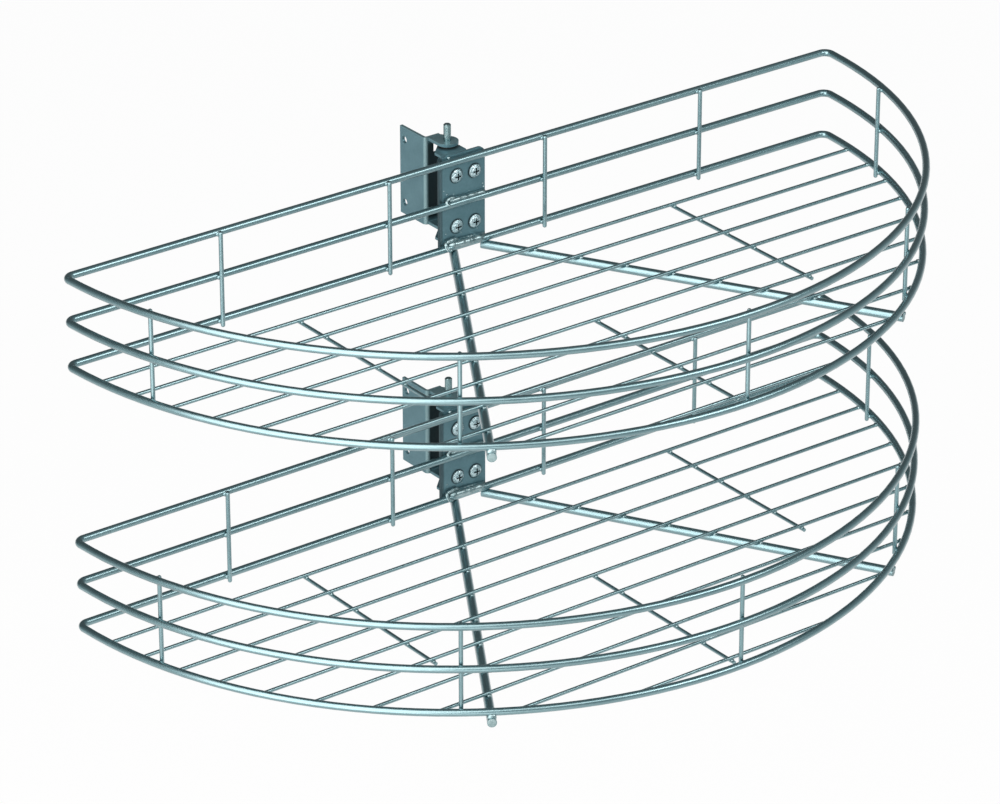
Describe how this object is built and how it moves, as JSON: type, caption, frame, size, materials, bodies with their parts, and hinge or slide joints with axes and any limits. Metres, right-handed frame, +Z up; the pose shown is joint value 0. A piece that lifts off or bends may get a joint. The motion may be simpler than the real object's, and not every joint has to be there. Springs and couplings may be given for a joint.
{
  "type": "swing-out wire shelf set for a corner cabinet",
  "caption": "Half-moon wire basket shelves, one above the other, each swinging out of a corner cabinet on its own pin hinge and screwed bracket.",
  "frame": {"origin": "middle of the lower bracket's two screw holes, on the face that meets the cabinet's upright", "axes": "+X along the baskets' straight side, away from the upright; -Y towards the baskets' round side; +Z up, along the hinge pins"},
  "size_m": [0.7486, 0.427, 0.3282],
  "materials": {
    "wire": "satin silver-grey coat on steel wire",
    "sheet": "satin silver-grey coat on pressed steel sheet",
    "zinc": "bright zinc plate",
    "nylon": "black moulded nylon"
  },
  "bodies": {
    "brackets": {"lower_wall_bracket": "sheet", "lower_pivot_pin": "zinc", "lower_pin_clip": "zinc", "lower_thrust_washer": "zinc", "upper_wall_bracket": "sheet", "upper_pivot_pin": "zinc", "upper_pin_clip": "zinc", "upper_thrust_washer": "zinc"},
    "lower_basket": {"lower_floor_rail": "wire", "lower_middle_rail": "wire", "lower_top_rail": "wire", "lower_uprights": "wire", "lower_floor_wires": "wire", "lower_cross_wires": "wire", "lower_left_support_rod": "wire", "lower_right_support_rod": "wire", "lower_hinge_plate": "sheet", "lower_hinge_body": "sheet", "lower_plate_screws": "zinc", "lower_top_bush": "nylon", "lower_bottom_bush": "nylon"},
    "upper_basket": {"upper_floor_rail": "wire", "upper_middle_rail": "wire", "upper_top_rail": "wire", "upper_uprights": "wire", "upper_floor_wires": "wire", "upper_cross_wires": "wire", "upper_left_support_rod": "wire", "upper_right_support_rod": "wire", "upper_hinge_plate": "sheet", "upper_hinge_body": "sheet", "upper_plate_screws": "zinc", "upper_top_bush": "nylon", "upper_bottom_bush": "nylon"}
  },
  "joints": [
    {"name": "lower_swing", "type": "hinge", "parent": "brackets", "child": "lower_basket", "pos_m": [0.012, -0.041, 0], "axis": [0, 0, 1], "range_deg": [0, 110]},
    {"name": "upper_swing", "type": "hinge", "parent": "brackets", "child": "upper_basket", "pos_m": [0.012, -0.041, 0.222], "axis": [0, 0, 1], "range_deg": [0, 110]}
  ]
}
